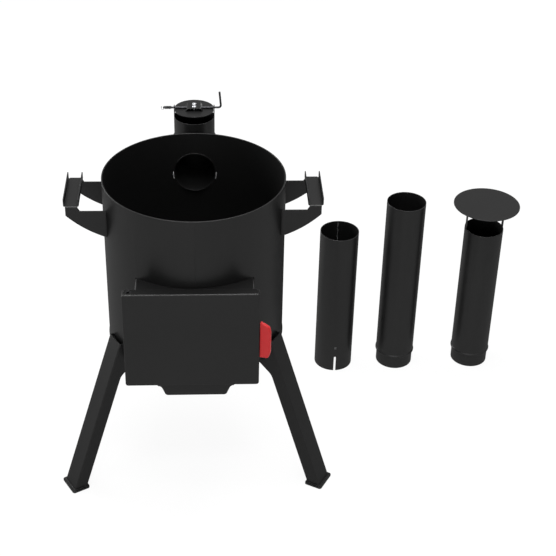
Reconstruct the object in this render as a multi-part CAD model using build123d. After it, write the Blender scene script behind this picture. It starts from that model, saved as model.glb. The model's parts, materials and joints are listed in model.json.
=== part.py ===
from build123d import *
import math
import os

os.makedirs("parts", exist_ok=True)

# All sizes are millimetres. The script draws the stove standing on z = 0, with the drum's axis on the
# Z axis and the door toward -Y. On export everything moves down by rim_z, so that the row's origin is
# the centre of the drum's rim.

# Clearances
weld_gap = 0.2  # between the drum's curved wall and a sheet cut to it
rest_gap = 0.3  # between pieces that move apart
slip_gap = 0.3  # radial, between one flue pipe and the next
hinge_gap = 0.08  # radial, between a hinge pin and its hole
rod_gap = 0.05  # radial, around the damper rod, its pin and its screw
cut_over = 1.0  # how far a cutting tool runs past what it cuts

# Drum
drum_r = 211.0
drum_wall = 3.0
rim_z = 774.0
rim_round = 0.8
drum_height = 422.0
floor_wall = 3.0
ash_mouth_width = 150.0
ash_mouth_depth = 200.0

drum_z = rim_z - drum_height
floor_under_z = drum_z - floor_wall

# Firebox throat
duct_width = 265.6
duct_height = 243.4
duct_wall = 3.0
duct_round = 4.0
duct_lift = 5.9  # above the drum's floor
duct_reach = 25.0  # in front of the drum

duct_x = duct_width / 2
duct_z = drum_z + duct_lift
duct_top_z = duct_z + duct_height
duct_front_y = -drum_r - duct_reach
duct_mid_z = duct_z + duct_height / 2

# Door, its hinge and its handle
door_wall = 2.0
door_depth = 22.0
door_corner = 6.0
door_bend = 3.0
door_stand_off = 2.3  # behind the panel, to the throat's edge
door_gap_right = 10.6  # beside the throat, inside the door's flange
door_gap_end = 2.0  # above and below the throat
hinge_reach = 14.2  # of the hinge axis, beside the throat's wall
hinge_inset = 12.3  # from the hinge axis to the door's left flange
hinge_set_back = 12.3  # behind the door's front face
pin_r = 5.6
shoulder_r = 7.4
pin_bore_r = 4.2
pin_bore_depth = 6.0
pin_recess = 0.8  # of the upper pin's end, in the door's flange
pin_tail = 0.5  # of the lower pin, past the door's flange
lug_wall = 4.0
lug_r = 8.0
lug_inset = 5.3  # from the throat's top or bottom face
lower_shoulder_gap = 1.0
tab_wall = 3.0
tab_length = 23.0
tab_height = 60.0
tab_lift = 93.2  # of the tab's lower edge above the door's
tab_set_back = 9.0  # behind the door's front face
tab_turn = 25.0  # degrees, forward from the door's plane
grip_wall = 8.0
grip_round = 2.5
grip_length = 24.9
grip_height = 97.6
grip_start = 3.0  # along the tab, from the door
grip_shoulder = 21.5
grip_shoulder_drop = 8.0
grip_heel = 20.0
grip_heel_drop = 3.0
grip_nose_height = 56.0
grip_corner_round = 9.0
grip_nose_round = 30.0

hinge_x = -duct_x - hinge_reach
door_left = hinge_x - hinge_inset - door_wall
door_right = duct_x + door_gap_right + door_wall
door_low_z = duct_z - door_gap_end - door_wall
door_high_z = duct_top_z + door_gap_end + door_wall
door_front_y = duct_front_y - door_stand_off - door_wall
door_back_y = door_front_y + door_depth
hinge_y = door_front_y + hinge_set_back
tab_y = door_front_y + tab_set_back
tab_z = door_low_z + tab_lift
grip_mid_z = tab_z + tab_height / 2

# Grate
grate_lap = 18.0  # onto the floor, around the ash mouth
grate_wall = 14.0
grate_border = 15.0
grate_slots = 7
grate_slot_width = 12.0
grate_rib = 2.5  # how far its locating rib drops into the ash mouth
grate_rib_wall = 5.0
grate_rib_gap = 1.0

grate_width = ash_mouth_width + 2 * grate_lap
grate_depth = ash_mouth_depth + 2 * grate_lap

# Ash drawer
ash_wall = 2.0
ash_front_gap = 12.0  # in front of the drum's floor
ash_top_drop = 2.0  # under the drum's floor
ash_front_hem = 9.0
ash_front_round = 1.8
ash_ear = 4.0  # beyond the pan's flange
ash_ear_drop = 2.5
ash_waist = 3.5  # beyond the pan's sides
ash_waist_drop = 9.0
ash_foot = 4.0  # beyond the pan's bottom
ash_drop = 32.5
ash_foot_round = 8.0
ash_waist_round = 10.0
pan_past_mouth = 7.0  # behind the ash mouth
pan_mouth_gap = 1.0  # beside the ash mouth
pan_lean = 10.0  # of each side
pan_flange = 12.0
pan_drop = 22.0
rail_wall = 2.0
rail_height = 12.0
rail_shelf = 12.0
rail_gap = 1.0  # beside the pan's flange
rail_past_pan = 3.0
rail_front_gap = 26.0  # behind the drum floor's front edge

pan_top_half = ash_mouth_width / 2 + pan_mouth_gap
pan_foot_half = pan_top_half - pan_lean
ash_front_y = -drum_r - ash_front_gap - ash_wall
ash_top_z = floor_under_z - ash_top_drop
pan_front_y = ash_front_y + ash_wall
rail_shelf_z = floor_under_z - rail_height + rail_wall
pan_flange_z = rail_shelf_z + rest_gap
rail_in_x = pan_top_half + pan_flange + rail_gap
rail_front_y = -drum_r + rail_front_gap
pan_back_y = ash_mouth_depth / 2 + pan_past_mouth
rail_back_y = pan_back_y + rail_past_pan

# Legs and feet, drawn outward along X and then turned to their places
leg_angles = {"rear": 90.0, "left": 210.0, "right": 330.0}
leg_wall = 3.0
leg_width = 53.0
leg_round = 3.0
leg_top_rise = 43.6  # above the drum's underside
leg_top_reach = 10.0  # outside the drum
leg_spread = 152.0  # of the leg's outer edge at its foot, beyond the drum
leg_foot_length = 32.0
leg_tuck = 48.0  # under the drum
leg_knee_reach = 11.7  # outside the drum
leg_knee_drop = 48.1  # under the drum
leg_knee_round = 30.0
foot_wall = 4.0
foot_in = 6.4  # beyond the leg, toward the drum
foot_out = 6.8  # beyond the leg, away from the drum
foot_side = 5.1  # beyond the leg, to each side
foot_round = 6.0

leg_foot_r = drum_r + leg_spread

# Carrying handles
handle_wall = 2.5
handle_reach = 47.9  # of the trough, beside the drum
handle_width = 35.4
handle_web_drop = 42.4  # of the trough's floor under the rim
handle_trough_height = 16.2
handle_trough_half = 64.2
handle_bend = 3.0
handle_crease = 0.5
bracket_neck = 5.2  # beyond the trough's end
bracket_neck_inset = 2.9  # from the trough's inner side
bracket_neck_drop = 46.0
bracket_notch = 2.1  # short of the trough's inner side
bracket_top_drop = 54.0
bracket_out_inset = 4.5  # from the trough's outer side
bracket_out_drop = 65.2
bracket_mid_reach = 40.0
bracket_mid_drop = 97.0
bracket_root_inset = 16.0
bracket_root_drop = 124.7

handle_in_x = drum_r + handle_reach
handle_out_x = handle_in_x + handle_width
bracket_half = handle_trough_half + bracket_neck

# Flue elbow, collar and chimney sections
pipe_bore_r = 50.0
pipe_wall = 1.5
elbow_wall = 2.5
flue_drop = 104.8
flue_reach = 63.3  # of the upright flue's axis, behind the drum
elbow_inset = 7.0
elbow_rise = 65.8
collar_wall = 2.0
collar_rise = 15.2  # above the drum's rim
collar_overlap = 13.0
ear_width = 10.0
ear_over = 5.0  # above the damper rod's axis

flue_z = rim_z - flue_drop
flue_y = drum_r + flue_reach
elbow_top_z = flue_z + elbow_rise
collar_r = pipe_bore_r - slip_gap
collar_bore_r = collar_r - collar_wall
collar_z = elbow_top_z - collar_overlap
collar_top_z = rim_z + collar_rise

# Chimney sections: where each stands and how tall it is
lower_x, lower_y, lower_height = 380.1, 327.2, 424.0
middle_x, middle_y, middle_height = 553.4, 331.6, 509.7
upper_x, upper_y, upper_height = 768.2, 335.8, 427.0
slot_gap = 0.3  # beside the damper rod
chimney_overlap = 21.8  # of the lower section, over the collar
pin_hole_r = 2.0
pin_hole_z = 76.0
spigot_height = 34.0
bead_height = 9.5
bead_out = 1.9  # beyond the pipe's wall

# Rain cap
cap_r = 87.0
cap_wall = 1.5
cap_lift = 69.3  # above the pipe
strap_width = 15.0
strap_wall = 2.0
strap_overlap = 30.0
strap_tab = 12.0
strap_round = 3.0
strap_side_gap = 0.05  # at the strap's edges, inside the curved pipe

# Damper
rod_r = 2.5
rod_rise = 22.1  # above the collar
rod_bend_x = 65.0
rod_bend_r = 6.0
rod_lean = 5.0  # degrees, of its handle toward the disc
rod_handle_rise = 41.2
disc_gap = 1.25  # radial, inside the chimney
disc_wall = 2.0
disc_drop = 0.1  # of the disc's top face under the rod
disc_flat_gap = 0.35
bridge_wall = 1.5
bridge_foot = 43.0
bridge_top = 31.0
bridge_depth = 34.0
bridge_height = 8.0
bridge_round = 1.5
screw_r = 2.0
screw_shift = 7.3  # of each screw, in front of or behind the damper rod
screw_head_r = 4.8
screw_head_height = 1.8
screw_head_round = 0.8
screw_socket_flats = 2.5
screw_socket_depth = 1.0
screw_tail = 1.0  # under its nut
nut_flats = 7.0
nut_height = 3.2
split_pin_r = 0.9
split_pin_x = -74.3
split_pin_reach = 6.0
split_pin_above = 3.6
split_pin_below = 2.0
split_pin_end = 1.7  # from the pin's axis to the rod's end
spring_wire = 1.0
spring_mean_r = 3.6
spring_turns = 10
spring_pitch = 1.6
spring_gap = 0.8  # from the pin

rod_end_x = split_pin_x - split_pin_end
disc_r = pipe_bore_r - disc_gap
spring_start_x = split_pin_x + split_pin_r + spring_gap
rod_z = collar_top_z + rod_rise
disc_top_z = rod_z - rod_r - disc_drop
disc_low_z = disc_top_z - disc_wall
bridge_top_z = disc_top_z + bridge_height
screw_places = {"front": -1, "rear": 1}


def block(x, y, z):
    """A box from its (low, high) in X, Y and Z."""
    size = [high - low for low, high in (x, y, z)]
    middle = [(low + high) / 2 for low, high in (x, y, z)]
    return Pos(*middle) * Box(*size)


def post(r, z, x=0.0, y=0.0):
    """An upright cylinder between two heights."""
    low, high = z
    return Pos(x, y, (low + high) / 2) * Cylinder(r, high - low)


def outline(*corners):
    """A closed outline from (a, b) or (a, b, radius) corners."""
    points = [corner[:2] for corner in corners]
    radii = [corner[2] if len(corner) > 2 else 0.0 for corner in corners]
    return make_face(FilletPolyline(points, radius=radii, close=True))


def slab_xz(face, y):
    """A face drawn in X and Z, made solid between two Y values."""
    low, high = y
    return extrude(Plane.XZ.offset(-high) * face, amount=high - low)


def slab_xy(face, z):
    """A face drawn in X and Y, made solid between two heights."""
    low, high = z
    return extrude(Plane.XY.offset(low) * face, amount=high - low)


def outside_drum(piece):
    """The piece without what reaches into the drum."""
    return piece - post(drum_r + weld_gap, (0, rim_z + drum_r))


def duct_section(inset=0.0):
    """The throat's cross-section in X and Z, drawn in by an inset."""
    round_r = max(duct_round - inset, 0.5)
    return Pos(0, duct_mid_z) * RectangleRounded(
        duct_width - 2 * inset, duct_height - 2 * inset, round_r
    )


def shell():
    wall = (drum_z, rim_z)
    drum = post(drum_r, wall) - post(drum_r - drum_wall, wall)
    drum = fillet(drum.edges().group_by(Axis.Z)[-1], rim_round)
    mouth = slab_xz(duct_section(duct_wall), (-drum_r - cut_over, 0))
    flue_hole = Pos(0, drum_r, flue_z) * Rot(90, 0, 0) * Cylinder(
        pipe_bore_r + elbow_wall + weld_gap, 2 * flue_reach
    )
    return drum - mouth - flue_hole


def floor_plate():
    plate = post(drum_r, (floor_under_z, drum_z))
    mouth = Rectangle(ash_mouth_width, ash_mouth_depth)
    return plate - slab_xy(mouth, (floor_under_z - cut_over, drum_z + cut_over))


def duct():
    reach = (duct_front_y, 0)
    tube = slab_xz(duct_section(), reach) - slab_xz(duct_section(duct_wall), reach)
    return outside_drum(tube)


def lug(low_z):
    """A flat lug on the throat's left wall, round at the hinge axis."""
    z = (low_z, low_z + lug_wall)
    arm = block((hinge_x, -duct_x), (hinge_y - lug_r, hinge_y + lug_r), z)
    return arm + post(lug_r, z, hinge_x, hinge_y)


upper_lug_top_z = duct_top_z - lug_inset
lower_lug_z = duct_z + lug_inset


def hinge_lugs():
    return Compound([lug(lower_lug_z), lug(upper_lug_top_z - lug_wall)])


def hinge_pins():
    seat_z = door_high_z - door_wall - rest_gap
    tip_z = door_high_z - pin_recess
    upper = post(shoulder_r, (upper_lug_top_z, seat_z), hinge_x, hinge_y)
    upper += post(pin_r, (seat_z, tip_z), hinge_x, hinge_y)
    upper -= post(pin_bore_r, (tip_z - pin_bore_depth, tip_z), hinge_x, hinge_y)
    neck_z = door_low_z + door_wall + lower_shoulder_gap
    lower = post(shoulder_r, (neck_z, lower_lug_z), hinge_x, hinge_y)
    lower += post(pin_r, (door_low_z - pin_tail, neck_z), hinge_x, hinge_y)
    return Compound([lower, upper])


def door_block(inset):
    """The door's outer form, drawn in by an inset at the sides and the front."""
    width = door_right - door_left - 2 * inset
    height = door_high_z - door_low_z - 2 * inset
    middle = Pos((door_left + door_right) / 2, (door_low_z + door_high_z) / 2)
    face = middle * RectangleRounded(width, height, door_corner - inset)
    solid = slab_xz(face, (door_front_y + inset, door_back_y))
    return fillet(solid.faces().sort_by(Axis.Y)[0].edges(), door_bend - inset)


def door_panel():
    pin_hole = post(
        pin_r + hinge_gap, (door_low_z - cut_over, door_high_z + cut_over), hinge_x, hinge_y
    )
    return door_block(0.0) - door_block(door_wall) - pin_hole


at_tab = Pos(door_right, tab_y, 0) * Rot(0, 0, -tab_turn)


def door_tab():
    half = tab_wall / 2
    reach = (-tab_length, tab_length)
    plate = at_tab * block(reach, (-half, half), (tab_z, tab_z + tab_height))
    inside = block(
        (door_left, door_right),
        (door_front_y, door_front_y + 2 * door_depth),
        (door_low_z, door_high_z),
    )
    return plate - inside


def door_grip():
    half = grip_height / 2
    nose = grip_nose_height / 2
    face = outline(
        (0, -half),
        (grip_heel, grip_heel_drop - half, grip_corner_round),
        (grip_length, -nose, grip_nose_round),
        (grip_length, nose, grip_nose_round),
        (grip_shoulder, half - grip_shoulder_drop, grip_corner_round),
        (0, half),
    )
    sleeve = slab_xz(face, (-grip_wall / 2, grip_wall / 2))
    rims = [sleeve.faces().sort_by(Axis.Y)[0], sleeve.faces().sort_by(Axis.Y)[-1]]
    edges = [edge for rim in rims for edge in rim.edges() if edge.center().X > cut_over]
    sleeve = fillet(edges, grip_round)
    return at_tab * Pos(grip_start, 0, grip_mid_z) * sleeve - door_tab()


def grate():
    low = drum_z + rest_gap
    frame = slab_xy(Rectangle(grate_width, grate_depth), (low, low + grate_wall))
    rib_width = ash_mouth_width - 2 * grate_rib_gap
    rib_depth = ash_mouth_depth - 2 * grate_rib_gap
    ring = Rectangle(rib_width, rib_depth)
    ring -= Rectangle(rib_width - 2 * grate_rib_wall, rib_depth - 2 * grate_rib_wall)
    frame += slab_xy(ring, (low - grate_rib, low))
    bar = (grate_width - 2 * grate_border - grate_slots * grate_slot_width) / (grate_slots - 1)
    first = -grate_width / 2 + grate_border + grate_slot_width / 2
    slot = SlotOverall(grate_depth - 2 * grate_border, grate_slot_width, rotation=90)
    for index in range(grate_slots):
        across = first + index * (bar + grate_slot_width)
        frame -= slab_xy(Pos(across, 0) * slot, (low - 2 * grate_rib, low + 2 * grate_wall))
    return frame


def ash_front():
    ear_half, ear_z = pan_top_half + pan_flange + ash_ear, ash_top_z - ash_ear_drop
    waist_half, waist_z = pan_top_half + ash_waist, ash_top_z - ash_waist_drop
    foot_half, foot_z = pan_foot_half + ash_foot, ash_top_z - ash_drop
    face = outline(
        (-ear_half, ash_top_z),
        (-ear_half, ear_z),
        (-waist_half, waist_z, ash_waist_round),
        (-foot_half, foot_z, ash_foot_round),
        (foot_half, foot_z, ash_foot_round),
        (waist_half, waist_z, ash_waist_round),
        (ear_half, ear_z),
        (ear_half, ash_top_z),
    )
    plate = slab_xz(face, (ash_front_y, ash_front_y + ash_wall))
    hem_half = pan_top_half + ash_wall
    plate += block(
        (-hem_half, hem_half),
        (ash_front_y, ash_front_y + ash_front_hem),
        (ash_top_z - ash_wall, ash_top_z),
    )
    top = [
        edge
        for edge in plate.edges().filter_by(Axis.X)
        if abs(edge.center().Z - ash_top_z) < 0.1 and abs(edge.center().Y - ash_front_y) < 0.1
    ]
    return fillet(top, ash_front_round)


def ash_pan():
    top = pan_flange_z + ash_wall
    foot = top - pan_drop
    lip = pan_top_half + pan_flange
    skin = outline(
        (-lip, top),
        (-lip, pan_flange_z),
        (-pan_top_half, pan_flange_z),
        (-pan_foot_half, foot),
        (pan_foot_half, foot),
        (pan_top_half, pan_flange_z),
        (lip, pan_flange_z),
        (lip, top),
    )
    in_top = pan_top_half - ash_wall
    in_foot = pan_foot_half - ash_wall
    hollow = outline(
        (-in_top, top + cut_over), (-in_foot, foot + ash_wall), (in_foot, foot + ash_wall),
        (in_top, top + cut_over),
    )
    pan = slab_xz(skin, (pan_front_y, pan_back_y))
    return pan - slab_xz(hollow, (pan_front_y - cut_over, pan_back_y - ash_wall))


def rail(side):
    """An angle under the drum's floor, on the left (-1) or the right (1)."""
    web = (rail_in_x, rail_in_x + rail_wall)
    shelf = (rail_in_x - rail_shelf, rail_in_x)
    y = (rail_front_y, rail_back_y)
    low = floor_under_z - rail_height
    angle = block(web, y, (low, floor_under_z)) + block(shelf, y, (low, low + rail_wall))
    return angle if side > 0 else mirror(angle, about=Plane.YZ)


def leg(angle):
    """A folded channel, open toward the drum, standing on its foot plate."""
    top_r = drum_r + leg_top_reach
    top_z = floor_under_z + leg_top_rise
    flange = outline(
        (drum_r + rest_gap, top_z),
        (top_r, top_z),
        (leg_foot_r, foot_wall),
        (leg_foot_r - leg_foot_length, foot_wall),
        (drum_r + leg_knee_reach, floor_under_z - leg_knee_drop, leg_knee_round),
        (drum_r - leg_tuck, floor_under_z),
        (drum_r + rest_gap, floor_under_z),
    )
    half = leg_width / 2
    channel = slab_xz(flange, (-half, half))
    run, drop = leg_foot_r - top_r, top_z - foot_wall
    slant = math.hypot(run, drop)
    long_edges = [
        edge for edge in channel.edges() if abs(edge.length - slant) < 1 and edge.center().X > top_r
    ]
    channel = fillet(long_edges, leg_round)
    in_shift = leg_wall * slant / drop
    steep = run / drop
    hollow = outline(
        (top_r - in_shift - steep * cut_over, top_z + cut_over),
        (leg_foot_r - in_shift + steep * cut_over, foot_wall - cut_over),
        (0, foot_wall - cut_over),
        (0, top_z + cut_over),
    )
    channel -= slab_xz(hollow, (-half + leg_wall, half - leg_wall))
    return Rot(0, 0, angle) * channel


def foot(angle):
    low = leg_foot_r - leg_foot_length - foot_in
    high = leg_foot_r + foot_out
    plate = RectangleRounded(high - low, leg_width + 2 * foot_side, foot_round)
    return Rot(0, 0, angle) * slab_xy(Pos((low + high) / 2, 0) * plate, (0, foot_wall))


def handle_bracket(side):
    """One end of the right handle: the folded-down plate that meets the drum."""
    web_z = rim_z - handle_web_drop
    shelf_z = rim_z - bracket_top_drop
    edge = bracket_half
    root = (drum_r - bracket_root_inset, rim_z - bracket_root_drop)
    neck_x = handle_in_x + bracket_neck_inset
    out_x = handle_out_x - bracket_out_inset
    corner = (out_x, rim_z - bracket_out_drop)
    upper = Polyline(
        root,
        (root[0], shelf_z),
        (handle_in_x - bracket_notch, shelf_z),
        (neck_x, rim_z - bracket_neck_drop),
        (neck_x, web_z),
        (out_x, web_z),
        corner,
    )
    lower = ThreePointArc(corner, (drum_r + bracket_mid_reach, rim_z - bracket_mid_drop), root)
    plate = slab_xz(make_face([upper, lower]), (edge - handle_wall, edge))
    neck = block((neck_x, out_x), (handle_trough_half, edge), (web_z - handle_wall, web_z))
    end = plate + neck
    bend = [
        line
        for line in end.edges().filter_by(Axis.X)
        if abs(line.center().Z - web_z) < 0.1 and abs(line.center().Y - edge) < 0.1
    ]
    end = fillet(bend, handle_bend)
    return end if side > 0 else mirror(end, about=Plane.XZ)


def handle(side):
    """A carrying handle: a trough with two brackets, on the left (-1) or the right (1)."""
    web_z = rim_z - handle_web_drop
    low, high = web_z - handle_wall, web_z + handle_trough_height
    skin = outline(
        (handle_in_x, high),
        (handle_in_x, low, handle_bend),
        (handle_out_x, low, handle_bend),
        (handle_out_x, high),
    )
    hollow = outline(
        (handle_in_x + handle_wall, high + cut_over),
        (handle_in_x + handle_wall, web_z, handle_crease),
        (handle_out_x - handle_wall, web_z, handle_crease),
        (handle_out_x - handle_wall, high + cut_over),
    )
    reach = (-handle_trough_half, handle_trough_half)
    piece = slab_xz(skin, reach) - slab_xz(hollow, reach)
    piece = outside_drum(piece + handle_bracket(1) + handle_bracket(-1))
    return piece if side > 0 else mirror(piece, about=Plane.YZ)


def flue_elbow():
    start = (0, drum_r - elbow_inset, flue_z)
    path = Polyline(start, (0, flue_y, flue_z), (0, flue_y, elbow_top_z))
    section = Plane(origin=start, z_dir=(0, 1, 0))
    outer = sweep(section * Circle(pipe_bore_r + elbow_wall), path, transition=Transition.RIGHT)
    inner = sweep(section * Circle(pipe_bore_r), path, transition=Transition.RIGHT)
    return outer - inner


def flue_collar():
    """The spigot that takes the chimney, with two ears that carry the damper rod."""
    top = rod_z + ear_over
    ring = post(collar_r, (collar_z, top), 0, flue_y) - post(collar_bore_r, (collar_z, top), 0, flue_y)
    keep = block(
        (-collar_r - cut_over, collar_r + cut_over),
        (flue_y - ear_width / 2, flue_y + ear_width / 2),
        (collar_top_z - cut_over, top),
    )
    body = ring & post(collar_r + cut_over, (collar_z, collar_top_z), 0, flue_y)
    ears = ring & keep
    rod_hole = Pos(0, flue_y, rod_z) * Rot(0, 90, 0) * Cylinder(rod_r + rod_gap, 3 * collar_r)
    return body + ears - rod_hole


def screw_holes():
    """What the two screws need through the disc and its bridge."""
    z = (disc_low_z - cut_over, bridge_top_z + cut_over)
    return Compound(
        [post(screw_r + rod_gap, z, 0, flue_y + way * screw_shift) for way in screw_places.values()]
    )


def damper_disc():
    flat_x = math.sqrt(collar_bore_r**2 - (ear_width / 2) ** 2) - disc_flat_gap
    z = (disc_low_z, disc_top_z)
    full = post(disc_r, z, 0, flue_y)
    across = (flue_y - disc_r - cut_over, flue_y + disc_r + cut_over)
    return full & block((-flat_x, flat_x), across, z) - screw_holes()


def damper_bridge():
    """The hat-shaped strap on the disc, which the rod passes through."""
    foot_half, top_half = bridge_foot / 2, bridge_top / 2
    lean = (foot_half - top_half) / bridge_height
    side = bridge_wall * math.hypot(1, lean)
    skin = outline(
        (-foot_half, disc_top_z),
        (foot_half, disc_top_z),
        (top_half, bridge_top_z, bridge_round),
        (-top_half, bridge_top_z, bridge_round),
    )
    in_top = top_half + lean * bridge_wall - side
    in_foot = foot_half - side
    hollow = outline(
        (-in_foot - lean * cut_over, disc_top_z - cut_over),
        (in_foot + lean * cut_over, disc_top_z - cut_over),
        (in_top, bridge_top_z - bridge_wall),
        (-in_top, bridge_top_z - bridge_wall),
    )
    y = (flue_y - bridge_depth / 2, flue_y + bridge_depth / 2)
    strap = slab_xz(skin, y) - slab_xz(hollow, y)
    rod_hole = Pos(0, flue_y, rod_z) * Rot(0, 90, 0) * Cylinder(rod_r + rod_gap, 2 * bridge_foot)
    return strap - rod_hole - screw_holes()


def hexagon(flats):
    return RegularPolygon(flats / 2, 6, major_radius=False)


def damper_nut(way):
    """A nut under the disc, in front of the rod (-1) or behind it (1)."""
    face = Pos(0, flue_y + way * screw_shift) * (hexagon(nut_flats) - Circle(screw_r + rod_gap))
    return slab_xy(face, (disc_low_z - nut_height, disc_low_z))


def damper_screw(way):
    """A low button-head screw that draws the bridge down onto the rod."""
    y = flue_y + way * screw_shift
    head_z = bridge_top_z + screw_head_height
    head = post(screw_head_r, (bridge_top_z, head_z), 0, y)
    head = fillet(head.edges().group_by(Axis.Z)[-1], screw_head_round)
    head -= slab_xy(Pos(0, y) * hexagon(screw_socket_flats), (head_z - screw_socket_depth, head_z))
    return head + post(screw_r, (disc_low_z - nut_height - screw_tail, bridge_top_z), 0, y)


def round_bar(r, *edges):
    """A round bar along a path of tangent lines and arcs."""
    path = Wire(edges)
    return sweep(Plane(origin=path @ 0, z_dir=path % 0) * Circle(r), path)


def damper_rod():
    turn = math.radians(90 + rod_lean)
    way = Vector(math.cos(turn), 0, math.sin(turn))
    corner = Vector(rod_bend_x - rod_bend_r, flue_y, rod_z)
    bend = corner + Vector(math.sin(turn), 0, 1 - math.cos(turn)) * rod_bend_r
    top = bend + way * ((rod_z + rod_handle_rise - bend.Z) / way.Z)
    rod = round_bar(
        rod_r,
        Edge.make_line((rod_end_x, flue_y, rod_z), corner),
        Edge.make_tangent_arc(corner, (1, 0, 0), bend),
        Edge.make_line(bend, top),
    )
    pin_hole = post(
        split_pin_r + rod_gap, (rod_z - 2 * rod_r, rod_z + 2 * rod_r), split_pin_x, flue_y
    )
    return rod - pin_hole


def damper_pin():
    """A hooked wire pin through the rod's end, which keeps the spring on."""
    near, far = split_pin_x, split_pin_x - split_pin_reach
    high, low = rod_z + split_pin_above, rod_z - split_pin_below
    return round_bar(
        split_pin_r,
        Edge.make_line((near, flue_y, high), (near, flue_y, low)),
        Edge.make_tangent_arc((near, flue_y, low), (0, 0, -1), (far, flue_y, low)),
        Edge.make_line((far, flue_y, low), (far, flue_y, high)),
    )


def biarc(start, start_way, end, end_way):
    """Two tangent arcs between two points with given directions."""
    chord = end - start
    ways = start_way + end_way
    turn = 2 * (1 - start_way.dot(end_way))
    along = chord.dot(ways)
    reach = (math.sqrt(along**2 + turn * chord.dot(chord)) - along) / turn
    first, last = start + start_way * reach, end - end_way * reach
    joint = (first + last) / 2
    return [
        Edge.make_tangent_arc(start, start_way, joint),
        Edge.make_tangent_arc(joint, last - first, end),
    ]


def coil_point(turn):
    """A point on the spring's centre line after a number of turns, and its direction there."""
    angle = 2 * math.pi * turn
    x = spring_start_x + spring_wire / 2 + spring_pitch * turn
    y = flue_y + spring_mean_r * math.sin(angle)
    z = rod_z + spring_mean_r * math.cos(angle)
    around = 2 * math.pi * spring_mean_r
    way = Vector(spring_pitch, around * math.cos(angle), -around * math.sin(angle))
    return Vector(x, y, z), way.normalized()


def damper_spring():
    """The coil spring on the rod: half-turn biarcs, with a straight end of one wire's thickness."""
    first, first_way = coil_point(0)
    edges = [Edge.make_line(first - first_way * spring_wire, first)]
    for step in range(2 * spring_turns):
        start, start_way = coil_point(step / 2)
        end, end_way = coil_point((step + 1) / 2)
        edges += biarc(start, start_way, end, end_way)
    last, last_way = coil_point(spring_turns)
    edges.append(Edge.make_line(last, last + last_way * spring_wire))
    samples = [edge @ share for edge in edges for share in (0, 0.25, 0.5, 0.75)]
    apart = 12  # samples that are more than a half turn away from each other
    gap = min(
        (samples[i] - samples[j]).length for i in range(len(samples)) for j in range(i - apart)
    )
    print(f"damper spring: least gap to itself {gap - spring_wire:.2f} mm")
    return round_bar(spring_wire / 2, *edges)


def pipe(x, y, height, spigot):
    """A chimney section with its lower end on the ground, and a beaded spigot if it has one."""
    outer = pipe_bore_r + pipe_wall
    if spigot:
        neck = pipe_bore_r - slip_gap
        bead = spigot_height + bead_height
        middle = spigot_height + bead_height / 2
        skin = [
            Line((neck - pipe_wall, 0), (neck, 0)),
            Line((neck, 0), (neck, spigot_height)),
            ThreePointArc((neck, spigot_height), (outer + bead_out, middle), (outer, bead)),
            Line((outer, bead), (outer, height)),
            Line((outer, height), (pipe_bore_r, height)),
            Line((pipe_bore_r, height), (pipe_bore_r, bead)),
            ThreePointArc(
                (pipe_bore_r, bead),
                (outer + bead_out - pipe_wall, middle),
                (neck - pipe_wall, spigot_height),
            ),
            Line((neck - pipe_wall, spigot_height), (neck - pipe_wall, 0)),
        ]
        tube = revolve(Plane.XZ * make_face(skin), Axis.Z)
    else:
        tube = post(outer, (0, height)) - post(pipe_bore_r, (0, height))
    return Pos(x, y, 0) * tube


def pipe_lower():
    """The section that fits over the collar, slotted front and back for the damper rod."""
    tube = pipe(lower_x, lower_y, lower_height, False)
    outer = pipe_bore_r + pipe_wall
    slot_height = chimney_overlap + rod_rise + rod_r
    slot = Pos(lower_x, 0) * SlotOverall(2 * slot_height, 2 * (rod_r + slot_gap), rotation=90)
    across = (lower_y - outer - cut_over, lower_y + outer + cut_over)
    screw_hole = Pos(lower_x, lower_y - outer, pin_hole_z) * Rot(90, 0, 0) * Cylinder(
        pin_hole_r, outer
    )
    return tube - slab_xz(slot, across) - screw_hole


def pipe_middle():
    return pipe(middle_x, middle_y, middle_height, True)


def pipe_upper():
    return pipe(upper_x, upper_y, upper_height, True)


cap_z = upper_height + cap_lift


def rain_cap():
    return post(cap_r, (cap_z, cap_z + cap_wall), upper_x, upper_y)


def cap_strap(side):
    """A bent strip from inside the upper pipe to the cap, on the left (-1) or the right (1)."""
    face_x = math.sqrt(pipe_bore_r**2 - (strap_width / 2) ** 2) - strap_side_gap
    low = upper_height - strap_overlap
    strip = outline(
        (face_x, low),
        (face_x, cap_z, strap_round),
        (face_x - strap_tab, cap_z),
        (face_x - strap_tab, cap_z - strap_wall),
        (face_x - strap_wall, cap_z - strap_wall, strap_round - strap_wall),
        (face_x - strap_wall, low),
    )
    half = strap_width / 2
    piece = slab_xz(strip, (-half, half))
    if side < 0:
        piece = mirror(piece, about=Plane.YZ)
    return Pos(upper_x, upper_y, 0) * piece


pieces = {
    "shell": shell(),
    "floor_plate": floor_plate(),
    "duct": duct(),
    "hinge_lugs": hinge_lugs(),
    "hinge_pins": hinge_pins(),
    "door_panel": door_panel(),
    "door_tab": door_tab(),
    "door_grip": door_grip(),
    "grate": grate(),
    "ash_front": ash_front(),
    "ash_pan": ash_pan(),
    "rail_left": rail(-1),
    "rail_right": rail(1),
    "handle_left": handle(-1),
    "handle_right": handle(1),
    "flue_elbow": flue_elbow(),
    "flue_collar": flue_collar(),
    "damper_disc": damper_disc(),
    "damper_bridge": damper_bridge(),
    "damper_rod": damper_rod(),
    "damper_pin": damper_pin(),
    "damper_spring": damper_spring(),
    "pipe_lower": pipe_lower(),
    "pipe_middle": pipe_middle(),
    "pipe_upper": pipe_upper(),
    "rain_cap": rain_cap(),
    "cap_strap_left": cap_strap(-1),
    "cap_strap_right": cap_strap(1),
}
for place, angle in leg_angles.items():
    pieces[f"leg_{place}"] = leg(angle)
    pieces[f"foot_{place}"] = foot(angle)
for place, way in screw_places.items():
    pieces[f"damper_screw_{place}"] = damper_screw(way)
    pieces[f"damper_nut_{place}"] = damper_nut(way)

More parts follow.
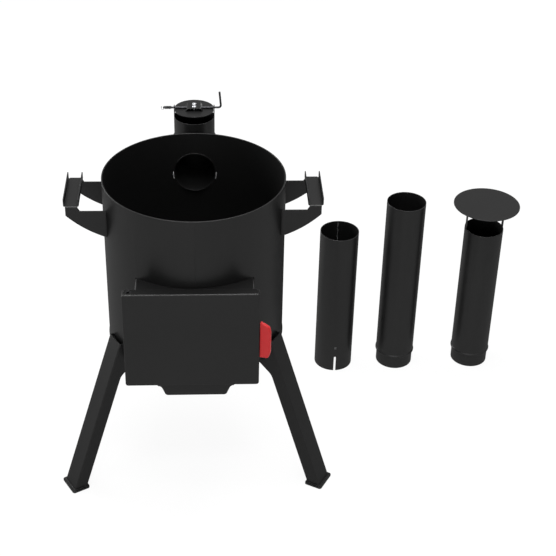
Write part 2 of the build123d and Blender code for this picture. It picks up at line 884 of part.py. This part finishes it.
for name, piece in pieces.items():
    export_step(Pos(0, 0, -rim_z) * piece, f"parts/{name}.step")
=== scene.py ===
import json
import math

import bpy
from mathutils import Matrix, Vector


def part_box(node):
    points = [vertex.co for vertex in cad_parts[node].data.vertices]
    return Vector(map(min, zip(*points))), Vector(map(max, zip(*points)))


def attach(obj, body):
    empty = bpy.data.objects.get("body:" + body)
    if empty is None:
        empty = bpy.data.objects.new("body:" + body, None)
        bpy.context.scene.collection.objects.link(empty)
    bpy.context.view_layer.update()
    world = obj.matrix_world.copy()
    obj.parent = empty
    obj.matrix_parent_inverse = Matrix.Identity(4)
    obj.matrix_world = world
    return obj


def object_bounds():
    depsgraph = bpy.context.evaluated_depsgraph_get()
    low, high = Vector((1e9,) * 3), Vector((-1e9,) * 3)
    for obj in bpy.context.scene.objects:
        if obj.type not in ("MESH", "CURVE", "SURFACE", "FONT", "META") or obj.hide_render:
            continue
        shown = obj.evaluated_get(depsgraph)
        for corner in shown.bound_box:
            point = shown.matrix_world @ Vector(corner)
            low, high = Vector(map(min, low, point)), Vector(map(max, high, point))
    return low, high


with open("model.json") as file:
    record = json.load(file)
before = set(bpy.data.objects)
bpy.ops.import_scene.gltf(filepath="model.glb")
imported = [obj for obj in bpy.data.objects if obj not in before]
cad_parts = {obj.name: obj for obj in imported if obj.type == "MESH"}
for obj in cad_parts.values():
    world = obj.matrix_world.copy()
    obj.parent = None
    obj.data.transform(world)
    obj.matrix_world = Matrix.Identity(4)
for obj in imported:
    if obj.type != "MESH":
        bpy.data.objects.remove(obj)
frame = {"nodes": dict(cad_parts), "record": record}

cad_low, cad_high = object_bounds()
nodes = frame["nodes"]

# The ground and the drum, as the frame gives them
ground_z = cad_low.z
drum_low, drum_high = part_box("shell")
drum_r = (drum_high.x - drum_low.x) / 2
rim_z = drum_high.z

# Sizes in metres that the frame's boxes don't give
DRUM_WALL = 0.003
LEG_ANGLES = {"rear": 90.0, "left": 210.0, "right": 330.0}  # degrees about the drum's axis
LEG_HALF = 0.0265  # half a leg's width
FOOT_IN, FOOT_OUT = 0.331, 0.363  # a leg's ends on its foot plate, from the drum's axis
DOOR_CORNER = 0.006  # radius between the door's folded flanges
TAB_BACK = 0.009  # the tab's middle, behind the door's face
PIPE_BORE_R, PIPE_WALL = 0.050, 0.0015
PIPE_SPIGOT = 0.046  # height of a spigot with its bead
PIPE_HOLE_Z = 0.076  # of the hole near the lower section's foot

# Camera: where the photograph was taken from
CAMERA_AT = (0.0308, -2.6411, 1.4456)
CAMERA_YAW = 3.633  # degrees, toward +X
CAMERA_PITCH = 33.160  # degrees, down
CAMERA_ROLL = 1.476
CAMERA_LENS = 84.91  # mm
CAMERA_SENSOR = 36.0  # mm


def make_camera():
    yaw, pitch, roll = (math.radians(a) for a in (CAMERA_YAW, CAMERA_PITCH, CAMERA_ROLL))
    ahead = Vector(
        (math.sin(yaw) * math.cos(pitch), math.cos(yaw) * math.cos(pitch), -math.sin(pitch))
    )
    right = Vector((math.cos(yaw), -math.sin(yaw), 0))
    up = right.cross(ahead)
    tilted_right = right * math.cos(roll) + up * math.sin(roll)
    tilted_up = up * math.cos(roll) - right * math.sin(roll)
    turn = Matrix((tilted_right, tilted_up, -ahead)).transposed()
    data = bpy.data.cameras.new("camera")
    data.lens = CAMERA_LENS
    data.sensor_width = CAMERA_SENSOR
    camera = bpy.data.objects.new("camera", data)
    camera.matrix_world = Matrix.Translation(CAMERA_AT) @ turn.to_4x4()
    bpy.context.scene.collection.objects.link(camera)
    bpy.context.scene.camera = camera


# Materials
COAT_DARK, COAT_LIGHT = (0.0045,) * 3, (0.0065,) * 3  # the powder coat's own black
COAT_ROUGH = (0.34, 0.42)
COAT_CLEAR = 0.16  # share of its clear surface
LEG_CLEAR = 0.12  # the legs' coat is duller
CLEAR_ROUGH = 0.37
CLEAR_IOR = 2.0
WORN_AND_HIGHLIT_EDGE_TONE = (0.10, 0.10, 0.105)  # lighter tone of sharp edges: partly coat worn thin, partly a painted highlight
EASED_R = 0.0007  # radius that a sharp edge is eased by
FLAT_COSINE, EDGE_COSINE = 0.985, 0.86  # of the turn by easing, on a face and on an edge
NOISE_ROUGH = 0.55
NOISE_LOW, NOISE_HIGH = 0.3, 0.7  # what a noise field mostly lies between


def new_material(name):
    material = bpy.data.materials.new(name)
    material.use_nodes = True
    return material, material.node_tree, material.node_tree.nodes["Principled BSDF"]


def noise(tree, scale, detail=4.0):
    """Noise over the object's own metres."""
    place = tree.nodes.new("ShaderNodeTexCoord")
    field = tree.nodes.new("ShaderNodeTexNoise")
    field.inputs["Scale"].default_value = scale
    field.inputs["Detail"].default_value = detail
    field.inputs["Roughness"].default_value = NOISE_ROUGH
    tree.links.new(place.outputs["Object"], field.inputs["Vector"])
    return field.outputs["Fac"]


def map_range(tree, value, start, end):
    """The value, moved from the start range to the end range."""
    span = tree.nodes.new("ShaderNodeMapRange")
    span.inputs["From Min"].default_value, span.inputs["From Max"].default_value = start
    span.inputs["To Min"].default_value, span.inputs["To Max"].default_value = end
    tree.links.new(value, span.inputs["Value"])
    return span.outputs["Result"]


def spread(tree, field, low, high):
    """A noise field, spread over low to high."""
    return map_range(tree, field, (NOISE_LOW, NOISE_HIGH), (low, high))


def blend(tree, share, first, second):
    """From the first colour to the second; each is a tuple or a node's output."""
    mix = tree.nodes.new("ShaderNodeMix")
    mix.data_type = "RGBA"
    tree.links.new(share, mix.inputs["Factor"])
    for key, colour in (("A", first), ("B", second)):
        if isinstance(colour, tuple):
            mix.inputs[key].default_value = (*colour, 1)
        else:
            tree.links.new(colour, mix.inputs[key])
    return mix.outputs["Result"]


def bump(tree, height, strength, distance):
    rough = tree.nodes.new("ShaderNodeBump")
    rough.inputs["Strength"].default_value = strength
    rough.inputs["Distance"].default_value = distance
    tree.links.new(height, rough.inputs["Height"])
    return rough.outputs["Normal"]


def eased_edges(tree):
    """The surface's normal, turned smoothly over sharp edges."""
    edge = tree.nodes.new("ShaderNodeBevel")
    edge.samples = 6
    edge.inputs["Radius"].default_value = EASED_R
    return edge.outputs["Normal"]


def edge_share(tree, eased):
    """1 on a sharp edge, 0 on the faces beside it."""
    plain = tree.nodes.new("ShaderNodeNewGeometry")
    match = tree.nodes.new("ShaderNodeVectorMath")
    match.operation = "DOT_PRODUCT"
    tree.links.new(plain.outputs["Normal"], match.inputs[0])
    tree.links.new(eased, match.inputs[1])
    return map_range(tree, match.outputs["Value"], (FLAT_COSINE, EDGE_COSINE), (0.0, 1.0))


def combine(tree, operation, a, b):
    """Two values combined by a Math node; the second may be a number."""
    math_node = tree.nodes.new("ShaderNodeMath")
    math_node.operation = operation
    tree.links.new(a, math_node.inputs[0])
    if isinstance(b, float):
        math_node.inputs[1].default_value = b
    else:
        tree.links.new(b, math_node.inputs[1])
    return math_node.outputs[0]


def black_coat(name, clear):
    """Satin black powder coat: orange peel, slow drifts in tone and gloss, and sharp edges lightened
    in patches, partly as coat worn thin and partly as a painted highlight.
    """
    material, tree, shader = new_material(name)
    eased = eased_edges(tree)
    wear = spread(tree, noise(tree, 55.0, 6.0), 0.0, 0.9)
    # Painted highlight: the sharp-edge mask times a wear noise lightens the coat towards the edge
    # tone, partly wear, partly light caught on the edges
    worn_and_highlit_edges = combine(tree, "MULTIPLY", edge_share(tree, eased), wear)
    tone = blend(tree, noise(tree, 9.0), COAT_DARK, COAT_LIGHT)
    tree.links.new(blend(tree, worn_and_highlit_edges, tone, WORN_AND_HIGHLIT_EDGE_TONE), shader.inputs["Base Color"])
    tree.links.new(spread(tree, noise(tree, 30.0, 5.0), *COAT_ROUGH), shader.inputs["Roughness"])
    peel = bump(tree, noise(tree, 900.0, 2.0), 0.12, 0.0004)
    tree.links.new(eased, peel.node.inputs["Normal"])
    tree.links.new(peel, shader.inputs["Normal"])
    tree.links.new(peel, shader.inputs["Coat Normal"])
    shader.inputs["Specular IOR Level"].default_value = 0.0
    shader.inputs["Coat Weight"].default_value = clear
    shader.inputs["Coat Roughness"].default_value = CLEAR_ROUGH
    shader.inputs["Coat IOR"].default_value = CLEAR_IOR
    return material


def grainy(name, tones, rough, grain, specular=0.5, metallic=0.0):
    """A material with a drift between two tones, a drift in roughness, and a bumpy grain.

    tones: noise scale, its detail, dark tone, light tone
    rough: noise scale, least and most roughness
    grain: noise scale, its detail, the bump's strength and depth
    """
    material, tree, shader = new_material(name)
    tone_scale, tone_detail, dark, light = tones
    rough_scale, smoothest, roughest = rough
    grain_scale, grain_detail, strength, depth = grain
    tone = blend(tree, noise(tree, tone_scale, tone_detail), dark, light)
    tree.links.new(tone, shader.inputs["Base Color"])
    drift = spread(tree, noise(tree, rough_scale), smoothest, roughest)
    tree.links.new(drift, shader.inputs["Roughness"])
    height = noise(tree, grain_scale, grain_detail)
    tree.links.new(bump(tree, height, strength, depth), shader.inputs["Normal"])
    shader.inputs["Specular IOR Level"].default_value = specular
    shader.inputs["Metallic"].default_value = metallic
    return material


def cast_iron(name):
    tones = (60.0, 6.0, (0.012, 0.011, 0.011), (0.035, 0.030, 0.028))
    return grainy(name, tones, (120.0, 0.6, 0.85), (500.0, 6.0, 0.5, 0.0006), metallic=0.4)


def red_sleeve(name):
    tones = (25.0, 4.0, (0.36, 0.010, 0.012), (0.43, 0.014, 0.016))
    return grainy(name, tones, (80.0, 0.42, 0.55), (1400.0, 2.0, 0.2, 0.0003), specular=0.2)


def ground_steel(name):
    """Weld metal, ground back and gone dull."""
    tones = (400.0, 5.0, (0.30, 0.30, 0.31), (0.62, 0.62, 0.63))
    return grainy(name, tones, (700.0, 0.45, 0.6), (1500.0, 3.0, 0.3, 0.0003), metallic=0.2)


def shade_dark_steel(name):
    """Weld metal and open seams, dull and coloured near-black as painted shade."""
    # near-black tones, darker than the black coat: painted shade
    tones = (200.0, 5.0, (0.002,) * 3, (0.005,) * 3)
    return grainy(name, tones, (400.0, 0.6, 0.8), (1500.0, 3.0, 0.3, 0.0003), specular=0.1)


def plated_metal(name, tone, rough):
    material, tree, shader = new_material(name)
    dark = tuple(0.8 * c for c in tone)
    tree.links.new(blend(tree, noise(tree, 300.0), dark, tone), shader.inputs["Base Color"])
    tree.links.new(spread(tree, noise(tree, 500.0), *rough), shader.inputs["Roughness"])
    shader.inputs["Metallic"].default_value = 1.0
    return material


def finish_nodes():
    """Give each CAD node its material, and return the materials by name."""
    finishes = {
        "black_coat": black_coat("black_coat", COAT_CLEAR),
        "grate_iron": cast_iron("grate_iron"),
        "red_sleeve": red_sleeve("red_sleeve"),
        "bare_steel": plated_metal("bare_steel", (0.032, 0.032, 0.034), (0.35, 0.5)),
        "zinc": plated_metal("zinc", (0.62, 0.63, 0.65), (0.25, 0.4)),
        "ground_steel": ground_steel("ground_steel"),
        "shade_dark_steel": shade_dark_steel("shade_dark_steel"),
    }
    leg_coat = black_coat("leg_coat", LEG_CLEAR)
    slots = {row["node"]: row["material_slot"] for row in frame["record"]["subparts"]}
    for name, piece in nodes.items():
        piece.data.materials.clear()
        piece.data.materials.append(leg_coat if name.startswith("leg_") else finishes[slots[name]])
    return finishes


# Weld beads and seams, each laid along a line of points
RIPPLE = 0.0035  # length of one ripple of a bead
STEP = RIPPLE / 4  # from one ring of a bead to the next
RIPPLE_HEIGHT = 0.16  # share of the bead's radius
RIPPLE_DRIFT = 1.7  # radians in a ring, so that one ripple isn't like the next
END_SHARE = 0.02  # of the bead's section, that is left at its ends
SIDES = 8
END_GAP = 0.001  # from a bead's end to the end of its joint


def ring_frame(way):
    """Two directions across a way."""
    side = way.cross(Vector((0, 0, 1)))
    if side.length < 0.3:  # the way is nearly upright
        side = way.cross(Vector((0, 1, 0)))
    side.normalize()
    return side, way.cross(side).normalized()


def even_steps(points):
    """The line of points, cut into even steps."""
    cut = [points[0]]
    for a, b in zip(points, points[1:]):
        count = max(1, round((b - a).length / STEP))
        cut += [a.lerp(b, k / count) for k in range(1, count + 1)]
    return cut


def bead(name, points, r, body, finish="black_coat"):
    """A weld bead with its ripples and two rounded ends."""
    line = even_steps([Vector(p) for p in points])
    verts, faces = [], []
    last = len(line) - 1
    for k, point in enumerate(line):
        way = (line[min(k + 1, last)] - line[max(k - 1, 0)]).normalized()
        side, up = ring_frame(way)
        from_end = min(k, last - k) * STEP
        taper = math.sqrt(max(END_SHARE, 1 - max(0.0, 1 - from_end / r) ** 2))
        wave = math.sin(math.pi / 2 * k) * math.cos(RIPPLE_DRIFT * k) ** 2
        here = r * taper * (1 + RIPPLE_HEIGHT * wave)
        for turn in range(SIDES):
            angle = math.tau * turn / SIDES
            verts.append(point + here * (math.cos(angle) * side + math.sin(angle) * up))
    for k in range(last):
        for turn in range(SIDES):
            a, b = k * SIDES + turn, k * SIDES + (turn + 1) % SIDES
            faces.append((a, b, b + SIDES, a + SIDES))
    faces.append(tuple(reversed(range(SIDES))))
    faces.append(tuple(last * SIDES + turn for turn in range(SIDES)))
    mesh = bpy.data.meshes.new(name)
    mesh.from_pydata(verts, [], faces)
    mesh.shade_smooth()
    piece = bpy.data.objects.new(name, mesh)
    bpy.context.scene.collection.objects.link(piece)
    mesh.materials.append(finishes[finish])
    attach(piece, body)


def full_turn(steps):
    """Angles once round, the first one again at the end."""
    return [math.tau * k / steps for k in range(steps + 1)]


def upright(x, y, low_z, high_z):
    """A vertical line of two points."""
    return [(x, y, low_z), (x, y, high_z)]


def wall_reach(aside, r=drum_r):
    """How far the drum's wall is from its axis, at a distance aside."""
    return math.sqrt(r**2 - aside**2)


THROAT_TOP_R, THROAT_SIDE_R = 0.0010, 0.0021
THROAT_STEPS = 24


def throat_welds():
    low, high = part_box("duct")
    width = high.x - low.x
    across = [low.x + width * k / THROAT_STEPS for k in range(THROAT_STEPS + 1)]
    top = [(x, -wall_reach(x), high.z) for x in across]
    # Painted shade: the throat's welds are near-black, standing in for the shadow in the joint
    # between the throat and the drum
    bead("weld_throat_top", top, THROAT_TOP_R, "stove", "shade_dark_steel")
    for name, x in (("left", low.x), ("right", high.x)):
        line = upright(x, -wall_reach(x), low.z + 2 * END_GAP, high.z)
        bead(f"weld_throat_{name}", line, THROAT_SIDE_R, "stove", "shade_dark_steel")


SEAM_X = 0.002
SEAM_SUNK = 0.0004  # its middle line, in the drum's wall
SEAM_R, SPOT_R, FLOOR_WELD_R = 0.0007, 0.0016, 0.0014
SPOT_RISE = 0.042  # of the spot of weld, above the throat
SPOT_HALF = 0.0015  # half its height
FLOOR_STEPS = 120


def drum_seams():
    throat_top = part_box("duct")[1].z
    y = SEAM_SUNK - drum_r
    spot = throat_top + SPOT_RISE
    bead("seam_drum_front", upright(SEAM_X, y, spot, rim_z - 3 * END_GAP), SEAM_R, "stove")
    low_line = upright(SEAM_X, y, throat_top + 2 * END_GAP, spot)
    bead("seam_drum_low", low_line, SEAM_R, "stove", "bare_steel")
    bead("seam_drum_spot", upright(SEAM_X, y, spot - SPOT_HALF, spot + SPOT_HALF), SPOT_R, "stove")
    ring = [
        (drum_r * math.cos(t), drum_r * math.sin(t), drum_low.z) for t in full_turn(FLOOR_STEPS)
    ]
    bead("weld_drum_floor", ring, FLOOR_WELD_R, "stove")


LEG_WELD_R, FOOT_WELD_R = 0.0017, 0.0012
FOOT_WELD_LIFT = 0.0004  # its middle line, above the plate


def leg_welds():
    for place, degrees in LEG_ANGLES.items():
        out = Vector((math.cos(math.radians(degrees)), math.sin(math.radians(degrees)), 0))
        across = Vector((-out.y, out.x, 0))
        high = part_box(f"leg_{place}")[1].z
        foot_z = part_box(f"foot_{place}")[1].z + FOOT_WELD_LIFT
        for side, way in (("a", -1), ("b", 1)):
            edge = across * way * LEG_HALF + out * wall_reach(LEG_HALF)
            line = upright(edge.x, edge.y, drum_low.z + END_GAP, high - END_GAP)
            bead(f"weld_leg_{place}_{side}", line, LEG_WELD_R, "stove")
        foot = [
            out * r + across * way * LEG_HALF + Vector((0, 0, foot_z))
            for r, way in ((FOOT_IN, -1), (FOOT_OUT, -1), (FOOT_OUT, 1), (FOOT_IN, 1))
        ]
        bead(f"weld_foot_{place}", foot, FOOT_WELD_R, "stove")


HANDLE_WELD_R = 0.0015
HANDLE_WELD_ENDS = (0.006, 0.066)  # above the bracket's lower end


def handle_welds():
    for side, sign in (("left", -1), ("right", 1)):
        low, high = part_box(f"handle_{side}")
        for end, y in (("front", low.y), ("back", high.y)):
            line = upright(sign * wall_reach(y), y, *(low.z + rise for rise in HANDLE_WELD_ENDS))
            bead(f"weld_handle_{side}_{end}", line, HANDLE_WELD_R, "stove")


FLUE_STEPS = 72
SADDLE_R, MITRE_R, COLLAR_WELD_R = 0.0020, 0.0012, 0.0013
CRESCENT_R = 0.0010
CRESCENT_STARTS = (("right", -18), ("left", 177))  # degrees round the flue hole
CRESCENT_STEP, CRESCENT_POINTS = 3, 8
CRESCENT_PROUD = 0.0006  # of the drum's inner wall
CRESCENT_CLEAR = 0.0002  # of the elbow


def flue_welds():
    low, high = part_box("flue_elbow")
    r = (high.x - low.x) / 2
    middle_y, middle_z = high.y - r, low.z + r

    def at_wall(t, hole_r, wall_r):
        """A point of the flue hole's edge, in a wall of the drum."""
        x = hole_r * math.cos(t)
        return (x, wall_reach(x, wall_r), middle_z + hole_r * math.sin(t))

    turns = full_turn(FLUE_STEPS)
    bead("weld_flue_drum", [at_wall(t, r, drum_r) for t in turns], SADDLE_R, "stove")
    # Painted highlight: beads of light ground steel inside the flue hole's left and right edges stand
    # in for light caught there; they are weld metal as well
    inside = drum_r - DRUM_WALL - CRESCENT_PROUD
    for side, start in CRESCENT_STARTS:
        arc = [math.radians(start + CRESCENT_STEP * k) for k in range(CRESCENT_POINTS)]
        line = [at_wall(t, r + CRESCENT_CLEAR, inside) for t in arc]
        bead(f"weld_flue_inside_glint_{side}", line, CRESCENT_R, "stove", "ground_steel")
    mitre = [
        (r * math.cos(t), middle_y + r * math.sin(t), middle_z - r * math.sin(t)) for t in turns
    ]
    bead("weld_flue_mitre", mitre, MITRE_R, "stove")
    collar_low, collar_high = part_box("flue_collar")
    collar_r = (collar_high.x - collar_low.x) / 2
    ring = [
        (collar_r * math.cos(t), middle_y + collar_r * math.sin(t), high.z) for t in turns
    ]
    bead("weld_flue_collar", ring, COLLAR_WELD_R, "stove")


LUG_WELD_R, TAB_WELD_R = 0.0011, 0.0009
TAB_WELD_SIDE = 0.0018  # from the tab's middle


def hinge_and_tab_welds():
    wall_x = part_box("duct")[0].x
    low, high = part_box("hinge_lugs")
    for name, z in (("upper", high.z), ("lower", low.z)):
        line = [(wall_x, low.y + END_GAP, z), (wall_x, high.y - END_GAP, z)]
        bead(f"weld_lug_{name}", line, LUG_WELD_R, "stove")
    door_low, door_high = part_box("door_panel")
    tab_low, tab_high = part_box("door_tab")
    for name, shift in (("front", -TAB_WELD_SIDE), ("back", TAB_WELD_SIDE)):
        y = door_low.y + TAB_BACK + shift
        line = upright(door_high.x, y, tab_low.z + END_GAP, tab_high.z - END_GAP)
        bead(f"weld_tab_{name}", line, TAB_WELD_R, "door")


DOOR_SEAM_R = 0.0016
DOOR_SEAM_SUNK = 0.0008  # its middle line, in the door's corner


def door_corner_seams():
    """The open corners between the door's folded flanges, as near-black seams: painted shade laid
    over the rounded corners' highlight.
    """
    low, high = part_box("door_panel")
    inset = DOOR_CORNER - (DOOR_CORNER - DOOR_SEAM_SUNK) * math.sqrt(0.5)
    for z_name, z in (("top", high.z - inset), ("low", low.z + inset)):
        for x_name, x in (("left", low.x + inset), ("right", high.x - inset)):
            line = [(x, low.y + 3 * END_GAP, z), (x, high.y - END_GAP / 2, z)]
            # painted shade: near-black seams that hide the corner fillets' highlight
            bead(f"seam_door_{z_name}_{x_name}", line, DOOR_SEAM_R, "door", "shade_dark_steel")


PIPE_SEAM_TURNS = {"lower": 0.0, "middle": -14.0, "upper": 9.0}  # degrees from the back
PIPE_SEAM_R, BARE_SEAM_R = 0.0008, 0.0003


def pipe_seams():
    """A seam in and on each section; the one inside the lower section is bare metal."""
    faces = (("inner", PIPE_BORE_R, 0.0), ("outer", PIPE_BORE_R + PIPE_WALL, PIPE_SPIGOT))
    for name, turn in PIPE_SEAM_TURNS.items():
        low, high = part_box(f"pipe_{name}")
        middle = (low + high) / 2
        angle = math.radians(90 - turn)
        for face, r, lift in faces:
            x, y = middle.x + r * math.cos(angle), middle.y + r * math.sin(angle)
            line = upright(x, y, low.z + lift + END_GAP, high.z - END_GAP)
            if (name, face) == ("lower", "inner"):
                finish, seam_r = "ground_steel", BARE_SEAM_R
            else:
                finish, seam_r = "black_coat", PIPE_SEAM_R
            bead(f"seam_{name}_{face}", line, seam_r, f"{name}_section", finish)


BURR_R, BURR_RING_R = 0.0002, 0.0024
BURR_STEPS = 20


def hole_burr():
    low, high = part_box("pipe_lower")
    x, z = (low.x + high.x) / 2, low.z + PIPE_HOLE_Z
    ring = [
        (x + BURR_RING_R * math.cos(t), low.y, z + BURR_RING_R * math.sin(t))
        for t in full_turn(BURR_STEPS)
    ]
    bead("burr_lower_hole", ring, BURR_R, "lower_section", "ground_steel")


RAIL_WELD_R = 0.0014
RAIL_STITCHES = 4
RAIL_STITCH = 0.025  # length of one
RAIL_INSET = 0.020  # of the first and the last, from the rail's ends


def rail_welds():
    for side in ("left", "right"):
        low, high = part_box(f"rail_{side}")
        x = high.x if side == "right" else low.x
        room = high.y - low.y - 2 * RAIL_INSET - RAIL_STITCH
        for k in range(RAIL_STITCHES):
            y = low.y + RAIL_INSET + room * k / (RAIL_STITCHES - 1)
            line = [(x, y, high.z), (x, y + RAIL_STITCH, high.z)]
            bead(f"weld_rail_{side}_{k + 1}", line, RAIL_WELD_R, "stove")


# Floor and light
FLOOR_SIZE = 14.0
FLOOR_TONE = (0.8, 0.8, 0.8, 1)
FLOOR_ROUGH = 0.9
BACKDROP_WHITE = 0.92  # share of plain white that the camera sees on the floor
WHITE = (1, 1, 1, 1)
OBJECT_MIDDLE = (0.15, 0.0, -0.35)  # what the lamps are aimed at


def seen_ray(tree):
    """1 for a ray that shows the backdrop: from the camera, or by gloss or glass; else 0."""
    path = tree.nodes.new("ShaderNodeLightPath")
    seen = path.outputs["Is Camera Ray"]
    for ray in ("Is Glossy Ray", "Is Transmission Ray"):
        seen = combine(tree, "MAXIMUM", seen, path.outputs[ray])
    return seen


def plain_floor():
    bpy.ops.mesh.primitive_plane_add(size=FLOOR_SIZE, location=(0, 0, ground_z))
    floor = bpy.context.object
    floor.name = "floor"
    material, tree, shader = new_material("floor")
    shader.inputs["Base Color"].default_value = FLOOR_TONE
    shader.inputs["Roughness"].default_value = FLOOR_ROUGH
    shader.inputs["Specular IOR Level"].default_value = 0.0
    white = tree.nodes.new("ShaderNodeEmission")
    white.inputs["Strength"].default_value = 1.0
    both = tree.nodes.new("ShaderNodeMixShader")
    share = combine(tree, "MULTIPLY", seen_ray(tree), BACKDROP_WHITE)
    tree.links.new(share, both.inputs["Fac"])
    tree.links.new(shader.outputs["BSDF"], both.inputs[1])
    tree.links.new(white.outputs["Emission"], both.inputs[2])
    tree.links.new(both.outputs["Shader"], tree.nodes["Material Output"].inputs["Surface"])
    floor.data.materials.append(material)


def white_world():
    """A world that is white to the camera and in gloss, and sheds no light of its own."""
    world = bpy.data.worlds.new("studio")
    world.use_nodes = True
    bpy.context.scene.world = world
    tree = world.node_tree
    dark = tree.nodes["Background"]
    dark.inputs["Strength"].default_value = 0.0
    white = tree.nodes.new("ShaderNodeBackground")
    white.inputs["Color"].default_value = WHITE
    white.inputs["Strength"].default_value = 1.0
    both = tree.nodes.new("ShaderNodeMixShader")
    tree.links.new(seen_ray(tree), both.inputs["Fac"])
    tree.links.new(dark.outputs["Background"], both.inputs[1])
    tree.links.new(white.outputs["Background"], both.inputs[2])
    tree.links.new(both.outputs["Shader"], tree.nodes["World Output"].inputs["Surface"])


def soft_light(name, at, size, power):
    data = bpy.data.lights.new(name, "AREA")
    data.shape = "RECTANGLE"
    data.size, data.size_y = size
    data.energy = power
    lamp = bpy.data.objects.new(name, data)
    lamp.location = at
    way = Vector(OBJECT_MIDDLE) - Vector(at)
    lamp.rotation_mode = "QUATERNION"
    lamp.rotation_quaternion = way.to_track_quat("-Z", "Y")
    bpy.context.scene.collection.objects.link(lamp)


def studio():
    """Lamps with their places and sizes in metres, and their power in watts."""
    white_world()
    soft_light("left_back", at=(-3.0, 1.8, 0.4), size=(2.2, 2.2), power=188.0)
    soft_light("top", at=(0.2, 0.3, 3.4), size=(3.0, 3.0), power=285.0)
    soft_light("high_front", at=(0.2, -2.0, 3.2), size=(0.9, 0.6), power=60.0)
    soft_light("low_front", at=(-0.8, -3.8, 0.4), size=(2.4, 2.0), power=47.0)
    soft_light("low_back", at=(2.2, 3.7, -0.33), size=(3.0, 0.8), power=65.0)


make_camera()
finishes = finish_nodes()
throat_welds()
drum_seams()
leg_welds()
handle_welds()
flue_welds()
hinge_and_tab_welds()
door_corner_seams()
pipe_seams()
hole_burr()
rail_welds()
plain_floor()
studio()

bpy.context.scene.view_settings.view_transform = "Standard"
